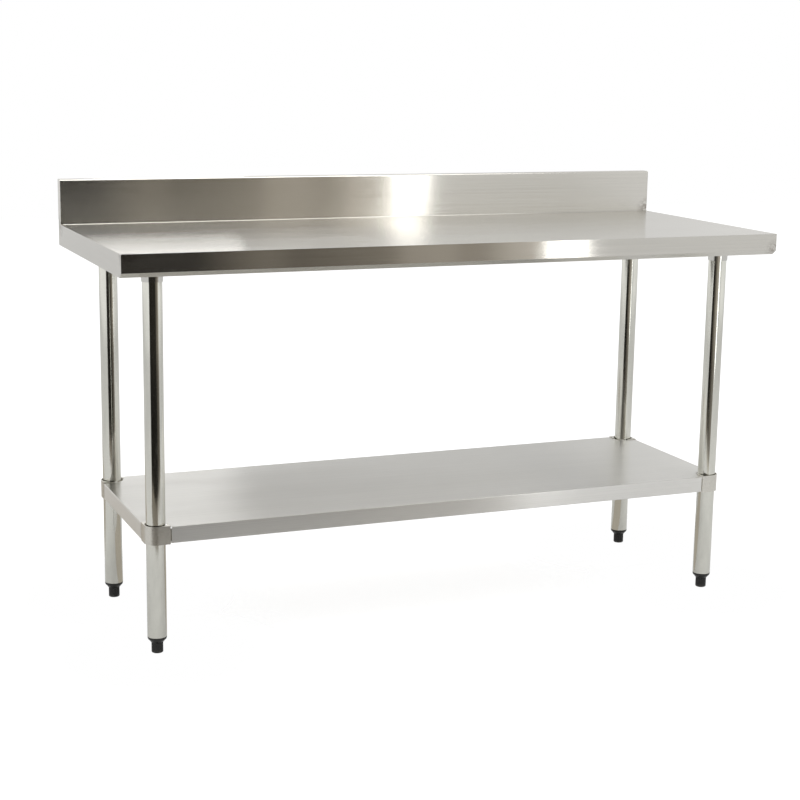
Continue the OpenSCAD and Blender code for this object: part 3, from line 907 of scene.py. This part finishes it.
# Painted shadow: a dark sheet under the table stands in for the table's shadow on the floor, seen only in
# reflections.
floor_cloth_or_painted_shadow("painted_shadow_under", -0.62, 0.62, -0.14, 0.3, 0.4)
floor_cloth_or_painted_shadow("cloth_rear_left", -1.4, -0.72, 0.45, 1.7, 0.45)


def area_light(name, place, target, size, radiance):
    """Lamp that the camera doesn't see, with the same radiance whatever its size."""
    light = bpy.data.lights.new(name, "AREA")
    light.shape = "RECTANGLE"
    light.size, light.size_y = size
    light.energy = radiance * size[0] * size[1] * math.pi
    lamp = bpy.data.objects.new(name, light)
    bpy.context.scene.collection.objects.link(lamp)
    lamp.location = place
    lamp.rotation_euler = (Vector(target) - Vector(place)).to_track_quat("-Z", "Y").to_euler()
    lamp.visible_camera = False


area_light("overhead", (0.2, -0.4, 3.4), (0, 0, 0), (2.6, 2.4), 1.9)
area_light("strip", (0.793, -1.37, 1.5), (0.793, 0.0, 1.5), (0.127, 2.2), 2.6)
area_light("rear", (0.23, 3.0, 1.85), (-0.5, 0.0, 0.9), (0.6, 1.0), 1.2)


def make_world():
    """White to the camera. Reflections see a pale room that is a little darker low down and behind."""
    world = bpy.data.worlds.new("studio")
    bpy.context.scene.world = world
    world.use_nodes = True
    nodes, links = world.node_tree.nodes, world.node_tree.links
    nodes.clear()
    out = nodes.new("ShaderNodeOutputWorld")
    place = nodes.new("ShaderNodeTexCoord")
    split = nodes.new("ShaderNodeSeparateXYZ")
    links.new(place.outputs["Generated"], split.inputs[0])
    ramp = nodes.new("ShaderNodeValToRGB")
    span = nodes.new("ShaderNodeMapRange")
    span.inputs["From Min"].default_value = -1
    links.new(split.outputs["Z"], span.inputs["Value"])
    links.new(span.outputs["Result"], ramp.inputs[0])
    stops = ramp.color_ramp.elements
    stops[0].position, stops[0].color = 0.42, (0.6, 0.6, 0.6, 1)
    stops[1].position, stops[1].color = 1.0, (0.95, 0.95, 0.95, 1)
    for position, value in ((0.5, 0.92), (0.6, 0.95), (0.8, 0.75)):
        stop = stops.new(position)
        stop.color = (value, value, value, 1)
    room = nodes.new("ShaderNodeBackground")
    links.new(ramp.outputs[0], room.inputs["Color"])
    sideways = nodes.new("ShaderNodeValToRGB")
    spread = nodes.new("ShaderNodeMapRange")
    spread.inputs["From Min"].default_value = -1
    links.new(split.outputs["X"], spread.inputs["Value"])
    links.new(spread.outputs["Result"], sideways.inputs[0])
    stops = sideways.color_ramp.elements
    stops[0].position, stops[0].color = 0.4, (1.0, 1.0, 1.0, 1)
    stops[1].position, stops[1].color = 0.78, (1.0, 1.0, 1.0, 1)
    for position, value in ((0.6, 0.84), (0.73, 0.82)):
        stop = stops.new(position)
        stop.color = (value, value, value, 1)
    links.new(sideways.outputs[0], room.inputs["Strength"])
    seen = nodes.new("ShaderNodeBackground")
    seen.inputs["Color"].default_value = (1, 1, 1, 1)
    path = nodes.new("ShaderNodeLightPath")
    mix = nodes.new("ShaderNodeMixShader")
    links.new(path.outputs["Is Camera Ray"], mix.inputs[0])
    links.new(room.outputs[0], mix.inputs[1])
    links.new(seen.outputs[0], mix.inputs[2])
    links.new(mix.outputs[0], out.inputs["Surface"])


make_world()


def make_camera(place, heading, pitch, roll, lens):
    """Camera at the photograph's viewing angle. Heading turns from +Y towards -X."""
    data = bpy.data.cameras.new("camera")
    data.lens = lens
    data.sensor_width = 36
    data.clip_end = 60
    camera = bpy.data.objects.new("camera", data)
    bpy.context.scene.collection.objects.link(camera)
    turn = Matrix.Rotation(heading, 4, "Z") @ Matrix.Rotation(math.pi / 2 - pitch, 4, "X")
    camera.matrix_world = Matrix.Translation(place) @ turn @ Matrix.Rotation(roll, 4, "Z")
    bpy.context.scene.camera = camera


make_camera((-1.525071, -3.578005, 1.26542), math.radians(-22.544), math.radians(11.641),
            math.radians(0.878), 76.632)
bpy.context.scene.view_settings.view_transform = "Standard"
bpy.context.scene.view_settings.look = "None"
